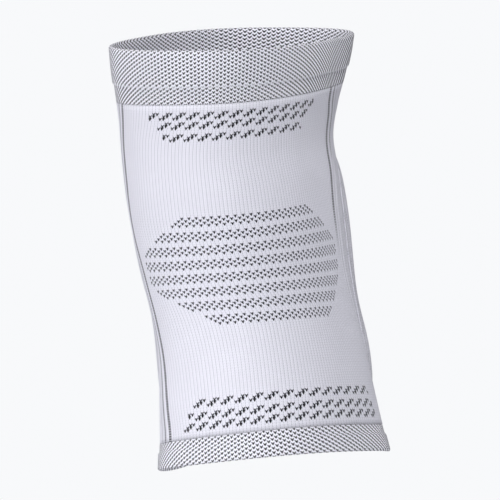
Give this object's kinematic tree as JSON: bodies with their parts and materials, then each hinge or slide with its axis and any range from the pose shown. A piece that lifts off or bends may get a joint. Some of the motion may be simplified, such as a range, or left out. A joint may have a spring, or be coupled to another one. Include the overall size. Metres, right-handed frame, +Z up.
{
  "type": "knitted knee sleeve with foam knee pad",
  "caption": "Knitted compression sleeve for the knee with doubled cuffs, knitted side ribs and a foam pad in a pocket over the kneecap.",
  "frame": {"origin": "middle of the knee joint, inside the sleeve, at the joint line", "axes": "+Z up the leg to the thigh, +Y out of the kneecap through the pad, -Y out of the hollow of the knee, +X to the side"},
  "size_m": [0.1524, 0.1765, 0.2658],
  "materials": {
    "white_knit": "ribbed nylon and elastane knit, matte, cool white with charcoal jacquard stitches",
    "birdseye_knit": "doubled bird's-eye jacquard knit, matte, charcoal stitches on cool white",
    "pad_foam": "closed-cell foam, matte, off-white"
  },
  "bodies": {
    "root": {"sleeve_tube": "white_knit", "thigh_cuff": "birdseye_knit", "calf_cuff": "birdseye_knit", "foam_pad": "pad_foam", "pad_pocket": "white_knit"}
  },
  "joints": []
}
